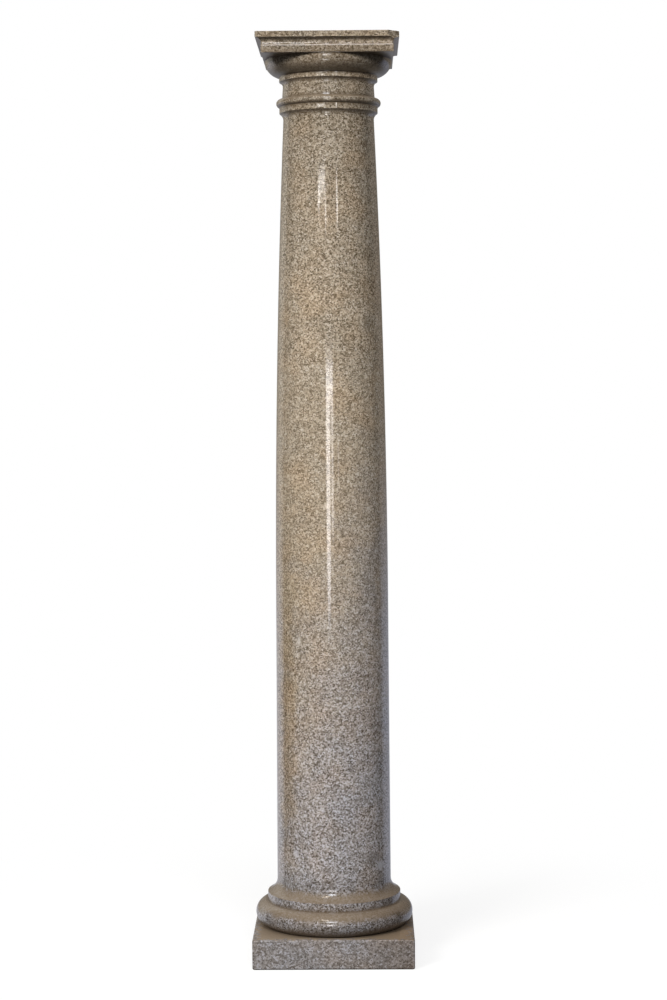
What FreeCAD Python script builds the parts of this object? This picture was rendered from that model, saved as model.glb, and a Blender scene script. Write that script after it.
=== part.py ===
import FreeCAD, Part
import math
import os

# Overall size, in millimetres
column_height = 2440.0  # from bed to bed

# Plinth
plinth_side = 426.0
plinth_height = 79.0
plinth_arris = 3.0  # rounding of the plinth's worn edges

# Turned base
torus_height = 65.0  # a half round
base_fillet_radius = 178.7
base_fillet_height = 22.4
foot_hollow_height = 35.6  # the hollow that runs out into the shaft

# Shaft
shaft_foot_radius = 153.0
shaft_third_radius = 150.8
shaft_third_height = 846.0  # where the straight lower third ends and the entasis begins
shaft_middle_radius = 144.7
shaft_middle_height = 1470.0  # where the entasis passes into its second arc
shaft_neck_radius = 120.3

# Astragal at the top of the shaft
neck_hollow_height = 17.3
neck_fillet_radius = 130.5
neck_fillet_height = 16.1
bead_radius = 10.6
bead_reach = 138.8  # radius of the bead's nose from the column's axis

# Necking and the ring above it
necking_foot_radius = 123.0
necking_head_radius = 120.9
necking_height = 33.0
ring_hollow_height = 12.9
ring_radius = 130.5
ring_height = 13.6

# Echinus
echinus_height = 42.8
echinus_top_radius = 168.8
echinus_sweep = 84.0  # degrees of the quarter round

# Abacus
abacus_side = 343.6
abacus_face_height = 22.0
abacus_ledge = 2.0  # width of the ledge behind the face's rounded top edge
crown_side = 372.8
crown_height = 15.4
crown_hollow_height = 15.6
crown_soffit = 2.0  # width of the flat under the crown's outer edge

# Broken front corner of the crown
break_reach = 29.0  # how far along each side the break runs
break_depth = 25.0  # how far down from the top bed it goes
break_lean = 4.0  # degrees that the broken face leans back

# Heights that follow from the sizes above
bead_rise = math.sqrt(bead_radius ** 2 - (neck_fillet_radius + bead_radius - bead_reach) ** 2)
bead_height = bead_rise + bead_radius
astragal_height = neck_hollow_height + neck_fillet_height + bead_height
necking_and_ring_height = necking_height + ring_hollow_height + ring_height
abacus_height = abacus_face_height + crown_hollow_height + crown_height
abacus_foot = column_height - abacus_height
shaft_top = abacus_foot - echinus_height - necking_and_ring_height - astragal_height


def vector(point):
    """A point (radius, height) as a place in the XZ plane."""
    return FreeCAD.Vector(point[0], 0, point[1])


def straight(start, end):
    return Part.makeLine(vector(start), vector(end))


def rounded(start, end, sweep):
    """An arc of sweep degrees: it swells to the right of the way from start to end, or hollows if negative."""
    across = end[0] - start[0]
    along = end[1] - start[1]
    rise = math.tan(math.radians(sweep) / 4) / 2
    middle = ((start[0] + end[0]) / 2 + along * rise, (start[1] + end[1]) / 2 - across * rise)
    return Part.Arc(vector(start), vector(middle), vector(end)).toShape()


def hollow(start, end):
    """A hollow arc that is upright at its narrow end, where it runs out into the stone beside it."""
    sweep = 2 * math.atan2(abs(end[0] - start[0]), end[1] - start[1])
    return rounded(start, end, -math.degrees(sweep))


def base_outline(foot):
    """Torus, fillet and hollow, from the plinth's top to the foot of the shaft."""
    torus_foot = (base_fillet_radius, foot)
    torus_top = (base_fillet_radius, foot + torus_height)
    fillet_top = (base_fillet_radius, torus_top[1] + base_fillet_height)
    shaft_foot = (shaft_foot_radius, fillet_top[1] + foot_hollow_height)
    edges = [
        rounded(torus_foot, torus_top, 180),
        straight(torus_top, fillet_top),
        hollow(fillet_top, shaft_foot),
    ]
    return edges, torus_foot, shaft_foot


def shaft_outline(foot):
    """A straight lower third, then the entasis: two arcs that start upright and draw the shaft in to its neck."""
    third = (shaft_third_radius, shaft_third_height)
    middle = (shaft_middle_radius, shaft_middle_height)
    neck = (shaft_neck_radius, shaft_top)
    lower_slope = math.atan2(third[0] - middle[0], middle[1] - third[1])
    upper_slope = math.atan2(middle[0] - neck[0], neck[1] - middle[1])
    edges = [
        straight(foot, third),
        rounded(third, middle, 2 * math.degrees(lower_slope)),
        rounded(middle, neck, 2 * math.degrees(upper_slope - 2 * lower_slope)),
    ]
    return edges, neck


def capital_outline(neck):
    """Astragal, necking, ring and echinus, up to the underside of the abacus."""
    fillet_foot = (neck_fillet_radius, neck[1] + neck_hollow_height)
    fillet_top = (neck_fillet_radius, fillet_foot[1] + neck_fillet_height)
    bead_top = (bead_reach - bead_radius, fillet_top[1] + bead_height)
    bead_sweep = 90 + math.degrees(math.asin(bead_rise / bead_radius))
    necking_foot = (necking_foot_radius, bead_top[1])
    necking_head = (necking_head_radius, necking_foot[1] + necking_height)
    ring_foot = (ring_radius, necking_head[1] + ring_hollow_height)
    ring_top = (ring_radius, ring_foot[1] + ring_height)
    echinus_top = (echinus_top_radius, ring_top[1] + echinus_height)
    edges = [
        hollow(neck, fillet_foot),
        straight(fillet_foot, fillet_top),
        rounded(fillet_top, bead_top, bead_sweep),
        straight(bead_top, necking_foot),
        straight(necking_foot, necking_head),
        hollow(necking_head, ring_foot),
        straight(ring_foot, ring_top),
        rounded(ring_top, echinus_top, echinus_sweep),
    ]
    return edges, echinus_top


def turned_stone():
    """Everything round, turned about the column's axis."""
    base, torus_foot, shaft_foot = base_outline(plinth_height)
    shaft, neck = shaft_outline(shaft_foot)
    capital, echinus_top = capital_outline(neck)
    axis_foot = (0, torus_foot[1])
    axis_top = (0, echinus_top[1])
    foot_seat = [straight(axis_foot, torus_foot)]
    head_seat = [straight(echinus_top, axis_top), straight(axis_top, axis_foot)]
    outline = Part.Wire(foot_seat + base + shaft + capital + head_seat)
    return Part.Face(outline).revolve(FreeCAD.Vector(0, 0, 0), FreeCAD.Vector(0, 0, 1), 360)


def plinth():
    corner = FreeCAD.Vector(-plinth_side / 2, -plinth_side / 2, 0)
    block = Part.makeBox(plinth_side, plinth_side, plinth_height, corner)
    worn = [edge for edge in block.Edges if edge.CenterOfMass.z > plinth_arris]
    return block.makeFillet(plinth_arris, worn)


def abacus_edges():
    """The right-hand outline of the abacus, from its foot up to the top bed."""
    face = abacus_side / 2
    crown = crown_side / 2
    face_top = abacus_foot + abacus_face_height
    crown_foot = face_top + crown_hollow_height
    return [
        straight((face, abacus_foot), (face, face_top - abacus_ledge)),
        rounded((face, face_top - abacus_ledge), (face - abacus_ledge, face_top), 90),
        rounded((face - abacus_ledge, face_top), (crown - crown_soffit, crown_foot), -90),
        straight((crown - crown_soffit, crown_foot), (crown, crown_foot)),
        straight((crown, crown_foot), (crown, column_height)),
    ]


def abacus():
    """The same outline run along X and along Y: what the two runs share has mitred corners."""
    right = abacus_edges()
    left = [edge.mirror(FreeCAD.Vector(0, 0, 0), FreeCAD.Vector(1, 0, 0)) for edge in right]
    top = straight((crown_side / 2, column_height), (-crown_side / 2, column_height))
    foot = straight((-abacus_side / 2, abacus_foot), (abacus_side / 2, abacus_foot))
    outline = Part.Wire(Part.__sortEdges__(right + left + [top, foot]))
    section = Part.Face(outline).translated(FreeCAD.Vector(0, -crown_side / 2, 0))
    run_along_y = section.extrude(FreeCAD.Vector(0, crown_side, 0))
    run_along_x = run_along_y.rotated(FreeCAD.Vector(0, 0, 0), FreeCAD.Vector(0, 0, 1), 90)
    return run_along_x.common(run_along_y)


def broken_corner():
    """The piece that is missing from the crown's front right corner."""
    size = 2 * break_reach
    chip = Part.makeBox(size, 2 * size, break_depth + size, FreeCAD.Vector(0, -size, -break_depth))
    chip.rotate(FreeCAD.Vector(0, 0, 0), FreeCAD.Vector(0, 1, 0), -break_lean)
    chip.rotate(FreeCAD.Vector(0, 0, 0), FreeCAD.Vector(0, 0, 1), -45)
    middle = (crown_side - break_reach) / 2
    chip.translate(FreeCAD.Vector(middle, -middle, column_height))
    return chip


def column():
    stone = plinth().fuse([turned_stone(), abacus()]).removeSplitter()
    return stone.cut(broken_corner()).Solids[0]


os.makedirs("parts", exist_ok=True)
column().exportStep("parts/column.step")
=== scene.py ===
import math
import random

import bmesh
import bpy
from mathutils import Matrix, Vector, noise


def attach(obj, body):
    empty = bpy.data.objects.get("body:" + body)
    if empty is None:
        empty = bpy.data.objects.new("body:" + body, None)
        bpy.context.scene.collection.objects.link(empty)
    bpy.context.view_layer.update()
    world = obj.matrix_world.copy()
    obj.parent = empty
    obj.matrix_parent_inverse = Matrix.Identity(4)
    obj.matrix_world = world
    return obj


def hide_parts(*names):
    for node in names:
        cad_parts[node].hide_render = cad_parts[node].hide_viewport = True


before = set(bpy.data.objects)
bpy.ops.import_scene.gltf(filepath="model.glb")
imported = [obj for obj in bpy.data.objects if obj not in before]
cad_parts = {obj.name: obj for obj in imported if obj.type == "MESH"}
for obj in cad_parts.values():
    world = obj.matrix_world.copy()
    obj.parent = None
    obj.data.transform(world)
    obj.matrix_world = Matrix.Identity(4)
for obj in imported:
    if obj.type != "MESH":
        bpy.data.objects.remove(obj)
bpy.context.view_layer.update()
mm = 0.001

# Camera, at the photograph's viewing angle
cameraView = {
    "place": (0.0858, -6.1156, 1.5462),
    "lens": 82.25,
    "pitchDown": 3.049,
    "yaw": 0.751,
    "roll": -0.423,
}


def addCamera(view):
    camera = bpy.data.objects.new("camera", bpy.data.cameras.new("camera"))
    bpy.context.scene.collection.objects.link(camera)
    camera.data.lens = view["lens"]
    turn = Matrix.Rotation(math.radians(view["yaw"]), 4, "Z")
    tilt = Matrix.Rotation(math.radians(90 - view["pitchDown"]), 4, "X")
    roll = Matrix.Rotation(math.radians(view["roll"]), 4, "Z")
    camera.matrix_world = Matrix.Translation(view["place"]) @ turn @ tilt @ roll
    bpy.context.scene.camera = camera


addCamera(cameraView)
print("camera set")

# Outlines: a chain of edges in the XZ plane, with x the distance from the axis


def startOutline(x, z):
    outline = bmesh.new()
    return outline, outline.verts.new((x * mm, 0, z * mm))


def lineTo(outline, tip, x, z, steps=1):
    start, end = tip.co.copy(), Vector((x * mm, 0, z * mm))
    for step in range(1, steps + 1):
        before, tip = tip, outline.verts.new(start.lerp(end, step / steps))
        outline.edges.new((before, tip))
    return tip


def arcTo(outline, tip, x, z, sweep, steps):
    # a positive sweep swells outwards on the way up, a negative one hollows
    across, rise = x * mm - tip.co.x, z * mm - tip.co.z
    pull = 0.5 / math.tan(math.radians(sweep) / 2)
    centre = (tip.co.x + across / 2 - rise * pull, 0, tip.co.z + rise / 2 + across * pull)
    spun = bmesh.ops.spin(outline, geom=[tip], cent=centre, axis=(0, -1, 0),
                          angle=math.radians(sweep), steps=steps)
    return spun["geom_last"][0]


def hollowTo(outline, tip, x, z, steps):
    # upright at its narrow end, where it runs out into the stone beside it
    sweep = 2 * math.atan2(abs(x * mm - tip.co.x), z * mm - tip.co.z)
    return arcTo(outline, tip, x, z, -math.degrees(sweep), steps)


def easeEdges(bm, edges, width, segments, clamp=False):
    bmesh.ops.bevel(bm, geom=edges, offset=width * mm, offset_type="OFFSET", affect="EDGES",
                    segments=segments, profile=0.5, material=-1, clamp_overlap=clamp)


# Sizes of the three parts of the stone, in millimetres
plinth = {
    "side": 426, "height": 79, "arris": 3, "footArris": 5, "bedInset": 12,
    "cornerSegments": 3, "slice": 4, "wear": 1.1, "wearSeed": 3,
}
turned = {
    "sunk": 20, "headSunk": 10, "footRadius": 184, "footRise": 0.435,
    "torusHeight": 65,
    "filletRadius": 178.7, "filletHeight": 22.4,
    "shaftFoot": (153, 35.6),
    "shaftThird": (150.8, 846), "shaftMiddle": (144.7, 1470), "neckRadius": 120.3,
    "neckHollow": 17.3, "neckFillet": (130.5, 16.1),
    "beadRadius": 10.6, "beadReach": 138.8,
    "neckingRadii": (123, 120.9), "neckingHeight": 33,
    "ringHollow": 12.9, "ringRadius": 130.5, "ringHeight": 13.6,
    "echinusHeight": 42.8, "echinusRadius": 168.8, "echinusSweep": 84,
    "easing": 0.9, "easedAngle": 32, "seatMargin": 1,
}
turnedSteps = {
    "around": 192, "torus": 26, "baseFillet": 4, "footHollow": 14, "shaftThird": 16, "lowerEntasis": 14,
    "upperEntasis": 18, "neckHollow": 8, "neckFillet": 3, "bead": 12, "necking": 4, "ringHollow": 7,
    "ring": 3, "echinus": 16,
}
abacus = {
    "top": 2440, "side": 343.6, "faceHeight": 22, "ledge": 2, "faceRound": 4.5,
    "crownSide": 372.8, "crownHeight": 15.4, "hollowHeight": 15.6, "soffit": 2,
    "footInset": 8, "bedInset": 10, "easing": 1.2, "arrisHighlightDepth": 2.7,
    "cornerSegments": 2, "slice": 5, "wear": 0.5, "wearSeed": 11,
}
plinthSteps = {
    "bed": 3, "arris": 4, "face": 6, "foot": 2,
}
abacusSteps = {
    "foot": 2, "easing": 3, "face": 3, "shoulder": 5, "hollow": 10, "bed": 2,
}
plinthTop = plinth["height"]
abacusFoot = abacus["top"] - abacus["faceHeight"] - abacus["hollowHeight"] - abacus["crownHeight"]
crevices = []  # (radius, height) of the inner corners, painted darker: painted shade with some dirt
arrisHighlights = []  # (radius, height) of the arrises with a painted highlight along them


# The turned stone: base, shaft and capital


def capitalHeights(size):
    # worked out downwards from the abacus
    rise = math.sqrt(size["beadRadius"] ** 2
                     - (size["neckFillet"][0] + size["beadRadius"] - size["beadReach"]) ** 2)
    ringTop = abacusFoot - size["echinusHeight"]
    ringFoot = ringTop - size["ringHeight"]
    neckingHead = ringFoot - size["ringHollow"]
    beadTop = neckingHead - size["neckingHeight"]
    filletTop = beadTop - (rise + size["beadRadius"])
    filletFoot = filletTop - size["neckFillet"][1]
    return {
        "neck": filletFoot - size["neckHollow"], "filletFoot": filletFoot, "filletTop": filletTop,
        "beadTop": beadTop, "neckingHead": neckingHead, "ringFoot": ringFoot, "ringTop": ringTop,
        "beadSweep": 90 + math.degrees(math.asin(rise / size["beadRadius"])),
    }


def baseOutline(bm, tip, size, steps):
    torusTop = plinthTop + size["torusHeight"]
    filletTop = torusTop + size["filletHeight"]
    missing = math.degrees(math.asin((size["footRadius"] - size["filletRadius"]) / (size["torusHeight"] / 2)))
    tip = arcTo(bm, tip, size["filletRadius"], torusTop, 180 - missing, steps["torus"])
    crevices.extend([(size["footRadius"], plinthTop), (size["filletRadius"], torusTop)])
    tip = lineTo(bm, tip, size["filletRadius"], filletTop, steps["baseFillet"])
    return hollowTo(bm, tip, size["shaftFoot"][0], filletTop + size["shaftFoot"][1], steps["footHollow"])


def shaftOutline(bm, tip, size, steps, neck):
    thirdRadius, third = size["shaftThird"]
    middleRadius, middle = size["shaftMiddle"]
    lowerSlope = math.atan2(thirdRadius - middleRadius, middle - third)
    upperSlope = math.atan2(middleRadius - size["neckRadius"], neck - middle)
    upperSweep = 2 * math.degrees(upperSlope - 2 * lowerSlope)
    tip = lineTo(bm, tip, thirdRadius, third, steps["shaftThird"])
    tip = arcTo(bm, tip, middleRadius, middle, 2 * math.degrees(lowerSlope), steps["lowerEntasis"])
    return arcTo(bm, tip, size["neckRadius"], neck, upperSweep, steps["upperEntasis"])


def capitalOutline(bm, tip, size, steps, heights):
    filletRadius = size["neckFillet"][0]
    neckingFoot, neckingHead = size["neckingRadii"]
    beadTop = heights["beadTop"]
    tip = hollowTo(bm, tip, filletRadius, heights["filletFoot"], steps["neckHollow"])
    tip = lineTo(bm, tip, filletRadius, heights["filletTop"], steps["neckFillet"])
    tip = arcTo(bm, tip, size["beadReach"] - size["beadRadius"], beadTop, heights["beadSweep"], steps["bead"])
    tip = lineTo(bm, tip, neckingFoot, beadTop)
    tip = lineTo(bm, tip, neckingHead, heights["neckingHead"], steps["necking"])
    tip = hollowTo(bm, tip, size["ringRadius"], heights["ringFoot"], steps["ringHollow"])
    tip = lineTo(bm, tip, size["ringRadius"], heights["ringTop"], steps["ring"])
    crevices.extend([(filletRadius, heights["filletTop"]), (neckingFoot, beadTop),
                     (size["ringRadius"], heights["ringTop"]), (size["echinusRadius"], abacusFoot)])
    return arcTo(bm, tip, size["echinusRadius"], abacusFoot, size["echinusSweep"], steps["echinus"])


def turnedOutline(size, steps):
    heights = capitalHeights(size)
    bm, tip = startOutline(0, plinthTop - size["sunk"])
    tip = lineTo(bm, tip, size["footRadius"], plinthTop - size["sunk"])
    tip = lineTo(bm, tip, size["footRadius"], plinthTop + size["footRise"])
    tip = baseOutline(bm, tip, size, steps)
    tip = shaftOutline(bm, tip, size, steps, heights["neck"])
    tip = capitalOutline(bm, tip, size, steps, heights)
    tip = lineTo(bm, tip, size["echinusRadius"], abacusFoot + size["headSunk"])
    lineTo(bm, tip, 0, abacusFoot + size["headSunk"])
    return bm


def spinStone(bm, steps, weld=0.01):
    bmesh.ops.spin(bm, geom=bm.verts[:] + bm.edges[:], cent=(0, 0, 0), axis=(0, 0, 1),
                   angle=2 * math.pi, steps=steps, use_merge=True)
    bmesh.ops.remove_doubles(bm, verts=bm.verts[:], dist=weld * mm)
    bmesh.ops.recalc_face_normals(bm, faces=bm.faces[:])


def meshObject(bm, name, finish=0):
    mesh = bpy.data.meshes.new(name)
    for face in bm.faces:
        face.material_index = finish
    bm.to_mesh(mesh)
    bm.free()
    made = bpy.data.objects.new(name, mesh)
    bpy.context.scene.collection.objects.link(made)
    return made


def turnedStone(size, steps):
    bm = turnedOutline(size, steps)
    spinStone(bm, steps["around"])
    low, high = plinthTop + size["seatMargin"], abacusFoot - size["seatMargin"]
    shown = [e for e in bm.edges if e.is_manifold and all(low * mm < v.co.z < high * mm for v in e.verts)]
    sharp = [e for e in shown if e.calc_face_angle() > math.radians(size["easedAngle"])]
    easeEdges(bm, sharp, size["easing"], 2, clamp=True)
    return meshObject(bm, "turned_stone")


# Square stones: the outline is spun in four steps, which gives mitred corners
wear = {
    "roughScale": 55, "roughFractal": (0.6, 2.1, 3), "rough": 0.55,
    "nickScale": 38, "nickFrom": 0.28, "nick": 2.2,
    "slantGain": 3.4,  # how fast the wear grows from a flat face to an arris
}


def squareStone(bm, cornerEasing, cornerSegments):
    bmesh.ops.scale(bm, vec=(math.sqrt(2), 1, 1), verts=bm.verts[:])
    spinStone(bm, 4)
    bmesh.ops.rotate(bm, verts=bm.verts[:], cent=(0, 0, 0), matrix=Matrix.Rotation(math.radians(45), 3, "Z"))
    # each vertex is at a corner, and a mitre edge stays at its own
    mitres = [e for e in bm.edges if e.is_manifold and e.verts[0].co.x * e.verts[1].co.x > 0
              and e.verts[0].co.y * e.verts[1].co.y > 0]
    easeEdges(bm, mitres, cornerEasing, cornerSegments)


def sliceAcross(bm, reach, step):
    # cuts the arrises into short lengths, so that they can wear unevenly
    for axis in (Vector((1, 0, 0)), Vector((0, 1, 0))):
        place = -reach + step
        while place < reach:
            bmesh.ops.bisect_plane(bm, geom=bm.verts[:] + bm.edges[:] + bm.faces[:], dist=1e-6,
                                   plane_co=axis * place * mm, plane_no=axis)
            place += step


def wearArrises(bm, amount, seed):
    bm.normal_update()
    moves = []
    for v in bm.verts:
        slant = 1 - max(abs(v.normal.x), abs(v.normal.y), abs(v.normal.z))
        spot = v.co + Vector((seed, 0, 0))
        rough = 0.5 + 0.5 * noise.fractal(spot * wear["roughScale"], *wear["roughFractal"])
        nick = max(0, noise.noise(spot * wear["nickScale"]) - wear["nickFrom"]) * wear["nick"]
        moves.append(min(1, slant * wear["slantGain"]) * (wear["rough"] * rough + nick) * amount * mm)
    for v, move in zip(bm.verts, moves):
        v.co -= v.normal * move


def wornStone(bm, name, size, reach, corner, finish=0):
    squareStone(bm, corner, size["cornerSegments"])
    sliceAcross(bm, reach, size["slice"])
    wearArrises(bm, size["wear"], size["wearSeed"])
    bmesh.ops.holes_fill(bm, edges=[e for e in bm.edges if e.is_boundary], sides=0)
    bmesh.ops.recalc_face_normals(bm, faces=bm.faces[:])
    return meshObject(bm, name, finish)


def plinthStone(size, steps):
    half, arris, footArris = size["side"] / 2, size["arris"], size["footArris"]
    bm, tip = startOutline(half - size["bedInset"], 0)
    tip = lineTo(bm, tip, half - footArris, 0, steps["foot"])
    tip = arcTo(bm, tip, half, footArris, 90, steps["arris"])
    tip = lineTo(bm, tip, half, plinthTop - arris, steps["face"])
    tip = arcTo(bm, tip, half - arris, plinthTop, 90, steps["arris"])
    lineTo(bm, tip, half - size["bedInset"], plinthTop, steps["bed"])
    return wornStone(bm, "plinth_stone", size, half, arris, 1)


def abacusStone(size, steps):
    face, crown, top = size["side"] / 2, size["crownSide"] / 2, size["top"]
    faceTop = abacusFoot + size["faceHeight"]
    faceShoulder = faceTop - size["faceRound"]
    crownFoot = faceTop + size["hollowHeight"]
    ease = size["easing"]
    shoulderSweep = 2 * math.degrees(math.atan(size["ledge"] / size["faceRound"]))
    # a painted highlight along the face's top arris, in pale crystal colour
    arrisHighlights.append((face, faceTop - size["arrisHighlightDepth"]))
    bm, tip = startOutline(face - size["footInset"], abacusFoot)
    tip = lineTo(bm, tip, face - ease, abacusFoot, steps["foot"])
    tip = arcTo(bm, tip, face, abacusFoot + ease, 90, steps["easing"])
    tip = lineTo(bm, tip, face, faceShoulder, steps["face"])
    tip = arcTo(bm, tip, face - size["ledge"], faceTop, shoulderSweep, steps["shoulder"])
    tip = arcTo(bm, tip, crown - size["soffit"], crownFoot, -90, steps["hollow"])
    tip = lineTo(bm, tip, crown - ease, crownFoot)
    tip = arcTo(bm, tip, crown, crownFoot + ease, 90, steps["easing"])
    tip = lineTo(bm, tip, crown, top - ease, steps["face"])
    tip = arcTo(bm, tip, crown - ease, top, 90, steps["easing"])
    lineTo(bm, tip, crown - size["bedInset"], top, steps["bed"])
    return wornStone(bm, "abacus_stone", size, crown, ease)


# Damage: the crown's broken corner and small chips along the arrises
brokenFractal = (0.7, 2.2, 4)
crownBreak = {
    "reach": 29, "depth": 25, "lean": 4, "roughness": 2.6, "roughScale": 60, "seed": 2, "cuts": 31,
}
chips = {
    "seed": 5, "count": 26, "smallest": 2.2, "largest": 6.5, "sunk": 0.42, "sunkSideways": 0.6,
    "alongArris": 0.92, "cornerMargin": 8, "upwardsAbove": 40, "longest": 1.8, "flattest": 0.6,
    "roughness": 0.5, "roughScale": 260, "roughSeed": 5,
}


def roughen(bm, amount, scale, seed):
    bm.normal_update()
    for v in bm.verts:
        spot = v.co * scale + Vector((0, 0, seed))
        v.co += v.normal * noise.fractal(spot, *brokenFractal) * amount * mm


def breakCutter(size, crown, top):
    bm = bmesh.new()
    block = 2 * size["reach"] * mm
    bmesh.ops.create_cube(bm, size=1)
    bmesh.ops.scale(bm, vec=(block, 2 * block, 2 * block), verts=bm.verts[:])
    bmesh.ops.translate(bm, vec=(block / 2, 0, block - size["depth"] * mm), verts=bm.verts[:])
    bmesh.ops.subdivide_edges(bm, edges=bm.edges[:], cuts=size["cuts"], use_grid_fill=True)
    roughen(bm, size["roughness"], size["roughScale"], size["seed"])
    for angle, axis in ((-size["lean"], "Y"), (-45, "Z")):
        bmesh.ops.rotate(bm, verts=bm.verts[:], cent=(0, 0, 0),
                         matrix=Matrix.Rotation(math.radians(angle), 3, axis))
    middle = (crown - size["reach"] / 2) * mm
    bmesh.ops.translate(bm, vec=(middle, -middle, top * mm), verts=bm.verts[:])
    return meshObject(bm, "crown_break", 2)


def chipCutters(size):
    draw = random.Random(size["seed"])
    bm = bmesh.new()
    half, crown = plinth["side"] / 2, abacus["crownSide"] / 2
    for number in range(size["count"]):
        radius = draw.uniform(size["smallest"], size["largest"]) * draw.uniform(0.5, 1)
        along = draw.uniform(-size["alongArris"], size["alongArris"])
        side = draw.randrange(4)
        # one in four on the crown, one in four on the plinth's corners, the rest on its arrises
        if number % 4 == 0:
            reach, height = crown, abacus["top"] - draw.choice((0, abacus["crownHeight"]))
        elif number % 4 == 1:
            reach, height = half, draw.uniform(size["cornerMargin"], plinthTop - size["cornerMargin"])
            along = draw.choice((-1, 1))
        else:
            reach, height = half, draw.choice((plinthTop, plinthTop, 0))
        out = reach + radius * size["sunk"] * size["sunkSideways"]
        lift = radius * size["sunk"] * (1 if height > size["upwardsAbove"] else -1)
        ball = bmesh.ops.create_icosphere(bm, subdivisions=3, radius=radius * mm)["verts"]
        stretch = draw.uniform(1, size["longest"])
        bmesh.ops.scale(bm, vec=(1, stretch, draw.uniform(size["flattest"], 1)), verts=ball)
        quarter = math.radians(90) * side
        place = Matrix.Rotation(quarter, 4, "Z") @ Vector((out, along * reach, height + lift))
        bmesh.ops.rotate(bm, verts=ball, cent=(0, 0, 0), matrix=Matrix.Rotation(quarter, 3, "Z"))
        bmesh.ops.translate(bm, vec=place * mm, verts=ball)
    roughen(bm, size["roughness"], size["roughScale"], size["roughSeed"])
    return meshObject(bm, "chips", 2)


# The column: the stones joined into one and the damage cut from it
finishes = ("polished", "dressed", "broken")
finishing = {
    "weld": 0.02, "sliver": 0.01, "creviceSpread": 30, "arrisHighlightSpread": 1.2, "sharpAngle": 38,
}


def combine(stone, other, operation):
    cut = stone.modifiers.new(operation, "BOOLEAN")
    cut.operation = operation
    cut.solver = "EXACT"
    cut.use_self = other.name == "chips"  # some chips overlap one another
    cut.object = other
    merged = bpy.data.meshes.new_from_object(stone.evaluated_get(bpy.context.evaluated_depsgraph_get()))
    stone.modifiers.clear()
    stone.data = merged
    bpy.data.objects.remove(other)


def buildColumn():
    stones = [turnedStone(turned, turnedSteps), plinthStone(plinth, plinthSteps),
              abacusStone(abacus, abacusSteps)]
    cutters = [breakCutter(crownBreak, abacus["crownSide"] / 2, abacus["top"]), chipCutters(chips)]
    materials = [bpy.data.materials.new(finish) for finish in finishes]
    for piece in stones + cutters:
        for material in materials:
            piece.data.materials.append(material)
    built = stones[0]
    for stone in stones[1:]:
        combine(built, stone, "UNION")
    for cutter in cutters:
        combine(built, cutter, "DIFFERENCE")
    built.name = built.data.name = "granite_column"
    return built


def nearness(out, height, places, spread):
    return max(math.exp(-((out - r) ** 2 + (height - z) ** 2) / spread) for r, z in places)


def markCreviceAndArris(bm, size):
    # how near each vertex is to a crevice, painted darker, and to the arris with a painted highlight
    creviceShadeAndDirt = bm.verts.layers.float.new("creviceShadeAndDirt")
    arrisHighlight = bm.verts.layers.float.new("arrisHighlight")
    for v in bm.verts:
        height = v.co.z / mm
        out = math.hypot(v.co.x, v.co.y) / mm
        if height > abacusFoot + 1:
            out = max(abs(v.co.x), abs(v.co.y)) / mm
        v[creviceShadeAndDirt] = nearness(out, height, crevices, size["creviceSpread"])
        v[arrisHighlight] = nearness(out, height, arrisHighlights, size["arrisHighlightSpread"])


def finishMesh(piece, size):
    bm = bmesh.new()
    bm.from_mesh(piece.data)
    bmesh.ops.remove_doubles(bm, verts=bm.verts[:], dist=size["weld"] * mm)
    bmesh.ops.dissolve_degenerate(bm, dist=size["sliver"] * mm, edges=bm.edges[:])
    bmesh.ops.recalc_face_normals(bm, faces=bm.faces[:])
    markCreviceAndArris(bm, size)
    for face in bm.faces:
        face.smooth = True
    for edge in bm.edges:
        edge.smooth = not (edge.is_manifold and edge.calc_face_angle() > math.radians(size["sharpAngle"]))
    triangles = sum(len(face.verts) - 2 for face in bm.faces)
    openEdges = sum(not edge.is_manifold for edge in bm.edges)
    print("column mesh:", len(bm.verts), "vertices,", triangles, "triangles,", openEdges, "open edges")
    bm.to_mesh(piece.data)
    bm.free()
    weighted = piece.modifiers.new("weighted normals", "WEIGHTED_NORMAL")
    weighted.keep_sharp = True


column = buildColumn()
finishMesh(column, finishing)
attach(column, "root")
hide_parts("column")
print("column built")

# Granite: crystals of feldspar, quartz and mica, with dust on the ledges and painted shade below
granite = {
    "mica": (0.074, 0.05, 0.028),
    "brown": (0.17, 0.128, 0.091),
    "quartz": (0.345, 0.277, 0.21),
    "feldspar": (0.49, 0.405, 0.32),
    "cream": (0.66, 0.575, 0.5),
    "average": (0.38, 0.307, 0.234),
}
grain = {
    "crystal": 290, "fleck": 400, "coarse": 42,  # cells per metre
    "warp": 0.0018, "fineSwing": 0.32, "cloudSwing": 0.3,
    "kinds": [(0, "mica"), (0.14, "brown"), (0.44, "quartz"), (0.74, "feldspar"), (1, "cream")],
    "fleckShare": 0.09, "fleckCover": 0.8,
    "faintFrom": (0.6, 1.05, 0, 0.18), "faintTo": (1.4, 1.85, 0, -0.14),
    "coarseEdge": (0.1, 0.24), "paleShare": 0.1, "paleCover": 0.6, "darkShare": 0.07, "darkCover": 0.5,
    "ior": 1.54, "crystalRelief": 0.5, "reliefDepth": 0.0008,
}
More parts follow.
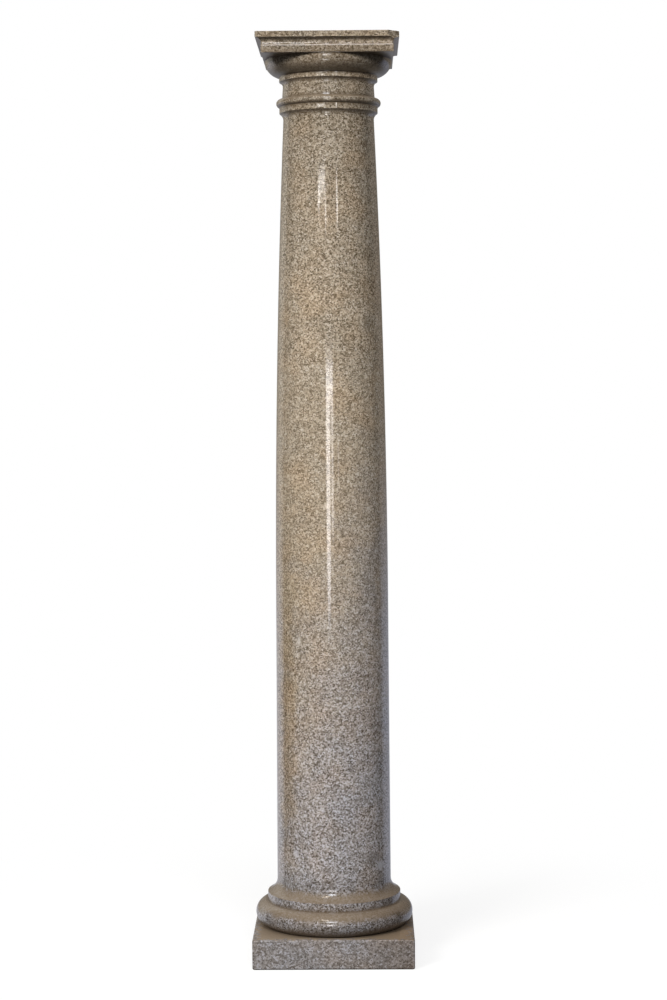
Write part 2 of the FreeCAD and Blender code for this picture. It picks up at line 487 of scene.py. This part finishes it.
# scale per metre and detail of each noise
noises = {
    "warp": (260, 2), "cloud": (14, 4), "fine": (700, 3), "patch": (13, 3), "dust": (120, 3), "rim": (90, 3),
}
tints = {
    "greyTint": (0.91, 1.03, 1.29), "warmTint": (1, 1, 0.94),
    "warming": (0.25, 1.35), "slant": 1.7, "drift": 0.7,
    "patchOffset": (3, 1, 2),
    "patches": [(0.36, (0.975, 1.0, 1.03)), (0.5, (1, 1, 1)), (0.64, (1.03, 0.99, 0.945))],
    # height in metres, and how pale the stone is painted there: painted shade and light, with some dirt on
    # the capital
    "paintedShades": [(0, 0.75), (0.076, 0.75), (0.082, 0.45), (0.112, 0.6), (0.13, 0.7), (0.146, 0.74),
               (0.166, 0.74), (0.19, 0.64), (0.24, 0.94), (0.7, 0.95), (1.2, 0.95), (1.6, 0.92),
               (2.1, 0.78), (2.25, 0.7), (2.328, 0.68), (2.331, 0.86), (2.343, 0.86), (2.347, 0.64),
               (2.386, 0.68), (2.388, 0.55), (2.409, 0.54), (2.411, 0.72), (2.424, 1.2), (2.427, 0.68),
               (2.44, 0.66)],
}
weatherAndShade = {
    "stain": (0.84, 0.72, 0.53), "stainTowards": (-0.8, -0.6, 0), "stainEdge": (0.965, 1), "stainSwing": 0.12,
    "stainTop": (1.25, 0.75), "stainFoot": (0.15, 0.4), "stainCover": 0.55,
    "shadeAndDirt": (0.1, 0.07, 0.043), "undersideFacing": (-0.15, -0.75), "undersideSwing": 0.4, "undersideShadeCover": 0.6,
    "undersideDulls": 5,  # times as much as dust does
    "dustCloud": 0.7, "dustSwing": 0.5, "dustEdge": 0.55, "rim": (0.012, 0.003), "rimSwing": 0.09,
    "rightShade": (0.72, 0.66, 0.6), "rightShadeAcross": (0, 0.21), "rightShadeHeight": (0.3, 0.16),
    "creviceCover": 0.75, "arrisHighlightCover": 0.45,
}
finishValues = {
    "polished": {"roughness": 0.09, "bump": 0.0, "tone": 1.0, "grain": 1.0, "faint": 0.1, "dustFrom": 0.12,
                 "dust": (0.178, 0.136, 0.093), "dustCover": 0.8, "dustyRoughness": 0.17},
    "dressed": {"roughness": 0.45, "bump": 0.3, "tone": 0.95, "grain": 0.88, "faint": 0.24, "dustFrom": 0.3,
                "dust": (0.31, 0.243, 0.172), "dustCover": 0.88, "dustyRoughness": 0.85},
    "broken": {"roughness": 0.7, "bump": 0.6, "tone": 1.05, "grain": 0.9, "faint": 0.1, "dustFrom": 0.3,
               "dust": (0.31, 0.243, 0.172), "dustCover": 0.5, "dustyRoughness": 0.85},
}
# single large crystals: degrees from the front towards +X, height, radius in millimetres, stretch upwards
inclusions = {
    "pale": [(-35, 0.855, 7, 2.2), (-4.6, 1.213, 7, 1.3), (24.5, 1.476, 6, 1), (-13.2, 1.62, 6, 1),
             (-41, 0.288, 12, 1), (7.7, 0.706, 6, 1), (54.7, 0.249, 17, 0.8)],
    "dark": [(33.6, 1.181, 5, 1.8), (44, 1.215, 6, 0.5), (-49.8, 1.51, 7, 1), (-25, 1.784, 6, 1),
             (11.8, 1.98, 6, 1), (-13.5, 0.599, 8, 0.8), (46, 1.69, 20, 1.5), (-6.5, 0.249, 16, 0.6),
             (43, 0.275, 26, 0.8)],
    "out": 0.148, "edge": (0.5, 1.15), "paleCover": 0.62, "darkCover": 0.5,
}


def addNode(tree, kind, values=None, **settings):
    made = tree.nodes.new(kind)
    for name, value in settings.items():
        setattr(made, name, value)
    for socket, value in (values or {}).items():
        if isinstance(value, bpy.types.NodeSocket):
            tree.links.new(value, made.inputs[socket])
        else:
            made.inputs[socket].default_value = value
    return made


def mixColours(tree, share, below, above, blend="MIX"):
    mixed = addNode(tree, "ShaderNodeMix", data_type="RGBA", blend_type=blend)
    for socket, value in ((0, share), (6, below), (7, above)):
        if isinstance(value, bpy.types.NodeSocket):
            tree.links.new(value, mixed.inputs[socket])
        elif socket:
            mixed.inputs[socket].default_value = (*value, 1)
        else:
            mixed.inputs[socket].default_value = value
    return mixed.outputs[2]


def maths(tree, operation, *values, clamp=False):
    made = addNode(tree, "ShaderNodeMath", dict(enumerate(values)), operation=operation, use_clamp=clamp)
    return made.outputs[0]


def scaled(tree, value, factor, clamp=False):
    return maths(tree, "MULTIPLY", value, factor, clamp=clamp)


def vectors(tree, operation, *values):
    return addNode(tree, "ShaderNodeVectorMath", dict(enumerate(values)), operation=operation).outputs


def noiseAt(tree, place, name):
    scale, detail = noises[name]
    return addNode(tree, "ShaderNodeTexNoise", {"Vector": place, "Scale": scale, "Detail": detail}).outputs


def cellsAt(tree, place, scale):
    # each cell's distance from its middle, and two random numbers of its own
    cells = addNode(tree, "ShaderNodeTexVoronoi", {"Vector": place, "Scale": scale}).outputs
    first, second, third = addNode(tree, "ShaderNodeSeparateColor", {"Color": cells["Color"]}).outputs
    return cells["Distance"], first, second


def uneven(tree, value, wave, amount):
    # the value, moved up and down by a noise of about 0.5
    swing = scaled(tree, maths(tree, "SUBTRACT", wave, 0.5), amount)
    return maths(tree, "ADD", value, swing)


def spread(tree, value, low, high, newLow=0.0, newHigh=1.0):
    ends = {"Value": value, "From Min": low, "From Max": high, "To Min": newLow, "To Max": newHigh}
    return addNode(tree, "ShaderNodeMapRange", ends, interpolation_type="SMOOTHSTEP").outputs["Result"]


def ramp(tree, value, stops):
    made = addNode(tree, "ShaderNodeValToRGB", {"Fac": value})
    while len(made.color_ramp.elements) < len(stops):
        made.color_ramp.elements.new(0.5)
    for element, (place, colour) in zip(made.color_ramp.elements, stops):
        element.position = place
        element.color = (*colour, 1)
    return made.outputs["Color"]


def surface(tree):
    # what the parts of the material read: the place on the stone, the way it faces and two noises
    place = addNode(tree, "ShaderNodeTexCoord").outputs["Object"]
    across, along, height = addNode(tree, "ShaderNodeSeparateXYZ", {"Vector": place}).outputs
    normal = addNode(tree, "ShaderNodeNewGeometry").outputs["Normal"]
    wobble = vectors(tree, "SUBTRACT", noiseAt(tree, place, "warp")["Color"], (0.5, 0.5, 0.5))[0]
    shift = addNode(tree, "ShaderNodeVectorMath", {0: wobble, "Scale": grain["warp"]}, operation="SCALE")
    return {
        "place": place, "across": across, "along": along, "height": height,
        "up": addNode(tree, "ShaderNodeSeparateXYZ", {"Vector": normal}).outputs[2],
        "warped": vectors(tree, "ADD", place, shift.outputs[0])[0],
        "cloud": noiseAt(tree, place, "cloud")["Fac"],
        "fine": noiseAt(tree, place, "fine")["Fac"],
    }


def crystals(tree, at, finish):
    kind = cellsAt(tree, at["warped"], grain["crystal"] * finish["grain"])[1]
    tilted = uneven(tree, kind, at["fine"], grain["fineSwing"])
    tilted = uneven(tree, tilted, at["cloud"], grain["cloudSwing"])
    colour = ramp(tree, tilted, [(share, granite[name]) for share, name in grain["kinds"]])
    fleck = cellsAt(tree, at["warped"], grain["fleck"] * finish["grain"])[2]
    dark = scaled(tree, maths(tree, "LESS_THAN", fleck, grain["fleckShare"]), grain["fleckCover"])
    colour = mixColours(tree, dark, colour, granite["mica"])

    # fainter in the middle of the shaft
    faint = maths(tree, "ADD", *(spread(tree, at["height"], *grain[end]) for end in ("faintFrom", "faintTo")))
    faint = maths(tree, "ADD", faint, finish["faint"])
    return kind, mixColours(tree, faint, colour, granite["average"])


def scatteredCrystals(tree, at, colour):
    distance, chance, _ = cellsAt(tree, at["warped"], grain["coarse"])
    near = spread(tree, distance, *grain["coarseEdge"], 1.0, 0.0)
    pale = scaled(tree, near, maths(tree, "GREATER_THAN", chance, 1 - grain["paleShare"]))
    colour = mixColours(tree, scaled(tree, pale, grain["paleCover"]), colour, granite["cream"])
    dark = scaled(tree, near, maths(tree, "LESS_THAN", chance, grain["darkShare"]))
    return mixColours(tree, scaled(tree, dark, grain["darkCover"]), colour, granite["brown"])


def inclusionsOf(tree, place, spots):
    found = None
    inner, outer = inclusions["edge"]
    for degrees, height, radius, stretch in spots:
        turn = math.radians(degrees)
        out = inclusions["out"]
        centre = (math.sin(turn) * out, -math.cos(turn) * out, height / stretch)
        squeezed = vectors(tree, "MULTIPLY", place, (1, 1, 1 / stretch))[0]
        away = vectors(tree, "DISTANCE", squeezed, centre)["Value"]
        one = spread(tree, away, radius * mm * inner, radius * mm * outer, 1.0, 0.0)
        found = maths(tree, "MAXIMUM", found, one) if found else one
    return found


def largeCrystals(tree, at, colour):
    pale = inclusionsOf(tree, at["warped"], inclusions["pale"])
    colour = mixColours(tree, scaled(tree, pale, inclusions["paleCover"]), colour, granite["cream"])
    dark = inclusionsOf(tree, at["warped"], inclusions["dark"])
    return mixColours(tree, scaled(tree, dark, inclusions["darkCover"]), colour, granite["brown"])


def tinted(tree, at, colour):
    # grey at the foot and warm above, with soft patches of blue and ochre, and painted shade and light by
    # height
    drift = uneven(tree, at["height"], at["cloud"], tints["drift"])
    drift = maths(tree, "SUBTRACT", drift, scaled(tree, at["across"], tints["slant"]))
    warmth = spread(tree, drift, *tints["warming"])
    tint = mixColours(tree, warmth, tints["greyTint"], tints["warmTint"])
    patchPlace = vectors(tree, "ADD", at["place"], tints["patchOffset"])[0]
    patches = ramp(tree, noiseAt(tree, patchPlace, "patch")["Fac"], tints["patches"])
    top = tints["paintedShades"][-1][0]
    share = maths(tree, "DIVIDE", at["height"], top)
    # painted shade and light by height, with some dirt on the capital
    paintedShades = ramp(tree, share, [(height / top, (shade, shade, shade)) for height, shade in tints["paintedShades"]])
    for layer in (tint, patches, paintedShades):
        colour = mixColours(tree, 1.0, colour, layer, "MULTIPLY")
    return colour


def stained(tree, at, colour):
    # a rusty run down one side of the lower shaft
    outwards = vectors(tree, "NORMALIZE", vectors(tree, "MULTIPLY", at["place"], (1, 1, 0))[0])[0]
    facing = vectors(tree, "DOT_PRODUCT", outwards, weatherAndShade["stainTowards"])["Value"]
    facing = uneven(tree, facing, at["cloud"], weatherAndShade["stainSwing"])
    run = scaled(tree, spread(tree, facing, *weatherAndShade["stainEdge"]), weatherAndShade["stainCover"])
    for end in ("stainTop", "stainFoot"):
        run = maths(tree, "MULTIPLY", run, spread(tree, at["height"], *weatherAndShade[end]))
    return mixColours(tree, run, colour, weatherAndShade["stain"], "MULTIPLY")


def undersideShadeCover(tree, at):
    # painted shade on the surfaces that face downwards, which also dulls them
    facing = uneven(tree, at["up"], at["cloud"], weatherAndShade["undersideSwing"])
    return scaled(tree, spread(tree, facing, *weatherAndShade["undersideFacing"]), weatherAndShade["undersideShadeCover"])


def dustCover(tree, at, finish):
    settled = uneven(tree, at["up"], at["cloud"], weatherAndShade["dustCloud"])
    settled = uneven(tree, settled, noiseAt(tree, at["place"], "dust")["Fac"], weatherAndShade["dustSwing"])
    dusty = spread(tree, settled, finish["dustFrom"], finish["dustFrom"] + weatherAndShade["dustEdge"])
    return scaled(tree, dusty, finish["dustCover"])


def insideRim(tree, at):
    # the dust stops raggedly just short of the plinth's arris
    edge = maths(tree, "MAXIMUM", maths(tree, "ABSOLUTE", at["across"]), maths(tree, "ABSOLUTE", at["along"]))
    edge = uneven(tree, edge, noiseAt(tree, at["place"], "rim")["Fac"], weatherAndShade["rimSwing"])
    rim = (plinth["side"] / 2 - plinth["arris"]) * mm
    inner, outer = weatherAndShade["rim"]
    return spread(tree, edge, rim - inner, rim - outer, 1.0, 0.0)


def shadeDirtAndHighlight(tree, at, colour):
    # painted shade on the base's right side, painted shade with some dirt in the crevices, and a painted
    # highlight along the abacus's top arris
    # painted shade, darker on the base's right side
    rightShade = maths(tree, "MULTIPLY", spread(tree, at["across"], *weatherAndShade["rightShadeAcross"]),
                 spread(tree, at["height"], *weatherAndShade["rightShadeHeight"]))
    colour = mixColours(tree, rightShade, colour, weatherAndShade["rightShade"], "MULTIPLY")
    layers = (("creviceShadeAndDirt", weatherAndShade["creviceCover"], weatherAndShade["shadeAndDirt"]),
              ("arrisHighlight", weatherAndShade["arrisHighlightCover"], granite["cream"]))
    for name, cover, layer in layers:
        near = addNode(tree, "ShaderNodeAttribute", attribute_name=name).outputs["Fac"]
        colour = mixColours(tree, scaled(tree, near, cover, clamp=True), colour, layer)
    return colour


def graniteFinish(name, finish):
    material = bpy.data.materials[name]
    material.use_nodes = True
    tree = material.node_tree
    tree.nodes.clear()
    at = surface(tree)
    kind, colour = crystals(tree, at, finish)
    colour = scatteredCrystals(tree, at, colour)
    if name == "polished":
        colour = largeCrystals(tree, at, colour)
    colour = stained(tree, at, tinted(tree, at, colour))
    undersideShade = undersideShadeCover(tree, at)
    dusty = dustCover(tree, at, finish)
    if name == "dressed":
        dusty = maths(tree, "MULTIPLY", dusty, insideRim(tree, at))
    # painted shade under the downward faces
    colour = mixColours(tree, undersideShade, colour, weatherAndShade["shadeAndDirt"])
    colour = mixColours(tree, dusty, colour, finish["dust"])
    colour = shadeDirtAndHighlight(tree, at, colour)
    colour = mixColours(tree, 1.0, colour, (finish["tone"],) * 3, "MULTIPLY")

    dull = maths(tree, "MAXIMUM", dusty, scaled(tree, undersideShade, weatherAndShade["undersideDulls"]))
    ends = {"Value": dull, "To Min": finish["roughness"], "To Max": finish["dustyRoughness"]}
    rough = addNode(tree, "ShaderNodeMapRange", ends, clamp=False).outputs["Result"]
    look = {"Base Color": colour, "Roughness": rough, "IOR": grain["ior"]}
    shader = addNode(tree, "ShaderNodeBsdfPrincipled", look)
    if finish["bump"]:
        relief = maths(tree, "ADD", scaled(tree, kind, grain["crystalRelief"]), at["fine"])
        pits = {"Height": relief, "Strength": finish["bump"], "Distance": grain["reliefDepth"]}
        tree.links.new(addNode(tree, "ShaderNodeBump", pits).outputs["Normal"], shader.inputs["Normal"])
    output = addNode(tree, "ShaderNodeOutputMaterial")
    tree.links.new(shader.outputs[0], output.inputs["Surface"])


for name in finishes:
    graniteFinish(name, finishValues[name])
print("granite made")

# Studio: pale floor, white surroundings, soft lamps from above, and the windows that the polish mirrors
studio = {
    "floorSize": 60, "floorGrey": 0.1,
    "shadowReach": (0.45, 1.6), "shadowGlow": 0.82, "shadowGrey": 0.22,
    "ambient": (0.035, 0.035, 0.038),
}
# what the polish mirrors in each direction, and between which slopes one gives way to the next
mirrored = {
    "front": (0.07, 0.066, 0.06), "ceiling": (0.42, 0.34, 0.25), "floor": (0.3, 0.27, 0.22),
    "low": {"left": (1.0, 0.99, 1.06), "right": (0.64, 0.66, 0.78),
            "middle": (0.2, 0.2, 0.2), "share": 0.45},
    "high": {"left": (0.84, 0.79, 0.7), "right": (0.42, 0.36, 0.3),
             "middle": (0.2, 0.175, 0.145), "share": 0.8},
    "ceilingFrom": (0.35, 0.9), "sides": (-0.4, 0.4), "middleFrom": (0.7, 1.0), "highFrom": (-0.13, 0.0),
    "floorFrom": (-0.28, -0.5), "behindFrom": (0.42, 0.58),
}
lamps = {
    "key": {"place": (-5.45, -7.78, 6.0), "aim": (0, 0, 1.2), "size": 3, "power": 860,
            "colour": (1, 0.98, 0.95)},
    "fill": {"place": (2.14, -9.25, 6.0), "aim": (0, 0, 1.2), "size": 3, "power": 570,
             "colour": (0.97, 0.98, 1)},
}
overhead = {"towards": (0.2, 0.35, -1), "strength": 1.1, "softness": 50, "colour": (1, 0.98, 0.95)}
# each window: how far in front, its left, right, lower and upper edge, brightness and colour
windows = {
    "door_head": (7, -1.095, 0.655, 1.902, 1.945, 7, (0.9, 0.9, 1)),
    "door_top": (7, -1.095, 0.655, 1.69, 1.902, 12, (1, 0.98, 0.97)),
    "door_left": (7, -1.095, -0.145, 0.538, 1.69, 9.5, (1, 0.96, 0.94)),
    "door_right": (7, 0.23, 0.655, 0.77, 1.69, 7, (1, 0.95, 0.92)),
    "door_step": (7, -0.95, -0.22, 0.371, 0.538, 8.5, (0.97, 0.97, 1)),
    "door_foot": (7, -0.95, -0.3, 0.159, 0.371, 4.5, (0.85, 0.9, 1)),
    "slot": (7, 1.8, 2.12, 1.12, 1.45, 4.5, (1, 0.96, 0.94)),
    "transom": (7, -1.5, 0.4, 4.35, 6.7, 12, (0.88, 0.92, 1)),
    "skylight": (3.93, -1.855, -0.633, 2.672, 2.736, 17, (1, 0.97, 0.93)),
    "skylight_haze": (3.93, -1.6, -0.633, 2.736, 2.775, 3, (1, 0.97, 0.93)),
    "skylight_end": (3.93, -1.855, -1.52, 2.61, 2.672, 18, (1, 0.97, 0.93)),
    "strip_left": (3.93, -0.6, -0.46, 2.478, 2.603, 18, (1, 0.97, 0.93)),
    "strip_right": (3.93, 1.234, 1.457, 2.499, 2.754, 12, (1, 0.97, 0.93)),
}
# a narrow beam from low in front, which only the capital's hollows mirror, and a strip light overhead
glint = {
    "place": (-0.09, -1.2, 1.27), "aim": (0, -0.13, 2.12), "size": (0.27, 0.4), "brightness": 20,
    "beam": 20, "colour": (1, 0.98, 0.95),
}
tube = {
    "ends": ((-0.54, -3.2), (-1.11, -2.0)), "height": 3.6, "width": 0.14, "brightness": 26,
    "colour": (1, 0.9, 0.76),
}


def addLamp(name, size, energy, colour, place, towards):
    data = bpy.data.lights.new(name, "AREA")
    data.shape = "RECTANGLE"
    data.size, data.size_y = size
    data.energy = energy
    data.color = colour
    made = bpy.data.objects.new(name, data)
    bpy.context.scene.collection.objects.link(made)
    made.location = place
    made.rotation_euler = Vector(towards).to_track_quat("-Z", "Y").to_euler()
    made.visible_camera = False
    return made


def addOverhead(size):
    data = bpy.data.lights.new("overhead", "SUN")
    data.energy = size["strength"]
    data.angle = math.radians(size["softness"])
    data.color = size["colour"]
    made = bpy.data.objects.new("overhead", data)
    bpy.context.scene.collection.objects.link(made)
    made.rotation_euler = Vector(size["towards"]).to_track_quat("-Z", "Y").to_euler()
    made.visible_glossy = False


def addSoftLamp(name, lamp):
    towards = Vector(lamp["aim"]) - Vector(lamp["place"])
    soft = addLamp(name, (lamp["size"], lamp["size"]), lamp["power"], lamp["colour"], lamp["place"], towards)
    soft.visible_glossy = False


def addGlossyLamp(name, size, brightness, colour, place, towards):
    # seen in the polish only; its power follows from how bright it looks there
    energy = math.pi * size[0] * size[1] * brightness
    pane = addLamp(name, size, energy, colour, place, towards)
    pane.visible_diffuse = False
    return pane


def addGlint(size):
    half = math.radians(size["beam"] / 2)
    gathered = math.tan(half) / (math.tan(half) - half)  # how much brighter a narrow beam is
    towards = Vector(size["aim"]) - Vector(size["place"])
    brightness = size["brightness"] / gathered
    pane = addGlossyLamp("glint", size["size"], brightness, size["colour"], size["place"], towards)
    pane.data.spread = 2 * half


def addTube(size):
    start, end = (Vector(place) for place in size["ends"])
    length = (end - start).length
    middle = (*((start + end) / 2), size["height"])
    area = (length, size["width"])
    strip = addGlossyLamp("tube", area, size["brightness"], size["colour"], middle, (0, 0, -1))
    strip.rotation_euler = (0, 0, math.atan2(end.y - start.y, end.x - start.x))


def addWindow(name, away, left, right, low, high, brightness, colour):
    middle = ((left + right) / 2, -away, (low + high) / 2)
    addGlossyLamp(name, (right - left, high - low), brightness, colour, middle, (0, 1, 0))


def rayKinds(tree):
    # rays that mirror, and rays that see the white background: the camera's and those through clear things
    rays = addNode(tree, "ShaderNodeLightPath").outputs
    return rays["Is Glossy Ray"], maths(tree, "MAXIMUM", rays["Is Camera Ray"], rays["Is Transmission Ray"])


def mirroredRoom(tree, direction, room):
    # pale surroundings behind the column, a darker room in front of it
    across, along, upwards = addNode(tree, "ShaderNodeSeparateXYZ", {"Vector": direction}).outputs
    ahead = mixColours(tree, spread(tree, upwards, *room["ceilingFrom"]), room["front"], room["ceiling"])
    back = {}
    for name in ("low", "high"):
        level = room[name]
        sides = mixColours(tree, spread(tree, across, *room["sides"]), level["left"], level["right"])
        middle = spread(tree, along, *room["middleFrom"], 0.0, level["share"])
        back[name] = mixColours(tree, middle, sides, level["middle"])
    behind = mixColours(tree, spread(tree, upwards, *room["highFrom"]), back["low"], back["high"])
    behind = mixColours(tree, spread(tree, upwards, *room["floorFrom"]), behind, room["floor"])
    return mixColours(tree, spread(tree, along, *room["behindFrom"]), ahead, behind)


def addFloor(size):
    # the camera sees it white with the column's shadow, and what it throws back is grey
    bm = bmesh.new()
    bmesh.ops.create_grid(bm, x_segments=1, y_segments=1, size=size["floorSize"] / 2)
    floor = meshObject(bm, "floor")
    material = bpy.data.materials.new("floor")
    material.use_nodes = True
    tree = material.node_tree
    tree.nodes.clear()
    _, seen = rayKinds(tree)
    place = addNode(tree, "ShaderNodeTexCoord").outputs["Object"]
    far = spread(tree, vectors(tree, "LENGTH", place)["Value"], *size["shadowReach"])
    grey, pale = size["floorGrey"], size["shadowGrey"]
    plain = addNode(tree, "ShaderNodeBsdfDiffuse", {"Color": (grey, grey, grey, 1)}).outputs[0]
    white = addNode(tree, "ShaderNodeEmission", {"Strength": 1.0}).outputs[0]
    shadowed = addNode(tree, "ShaderNodeBsdfDiffuse", {"Color": (pale, pale, pale, 1)}).outputs[0]
    glow = addNode(tree, "ShaderNodeEmission", {"Strength": size["shadowGlow"]}).outputs[0]
    nearby = addNode(tree, "ShaderNodeAddShader", {0: glow, 1: shadowed}).outputs[0]
    background = addNode(tree, "ShaderNodeMixShader", {0: far, 1: nearby, 2: white}).outputs[0]
    shown = addNode(tree, "ShaderNodeMixShader", {0: seen, 1: plain, 2: background}).outputs[0]
    addNode(tree, "ShaderNodeOutputMaterial", {"Surface": shown})
    floor.data.materials.append(material)
    floor.visible_glossy = False


def addWorld(size, room):
    world = bpy.data.worlds.new("studio")
    bpy.context.scene.world = world
    world.use_nodes = True
    tree = world.node_tree
    tree.nodes.clear()
    glossy, seen = rayKinds(tree)
    direction = addNode(tree, "ShaderNodeTexCoord").outputs["Generated"]
    colour = mixColours(tree, glossy, size["ambient"], mirroredRoom(tree, direction, room))
    colour = mixColours(tree, seen, colour, (1, 1, 1))
    light = addNode(tree, "ShaderNodeBackground", {"Color": colour, "Strength": 1.0}).outputs[0]
    addNode(tree, "ShaderNodeOutputWorld", {"Surface": light})


for name, lamp in lamps.items():
    addSoftLamp(name, lamp)
for name, window in windows.items():
    addWindow(name, *window)
addGlint(glint)
addTube(tube)
addOverhead(overhead)
addFloor(studio)
addWorld(studio, mirrored)
bpy.context.scene.view_settings.view_transform = "Standard"
print("studio lit")
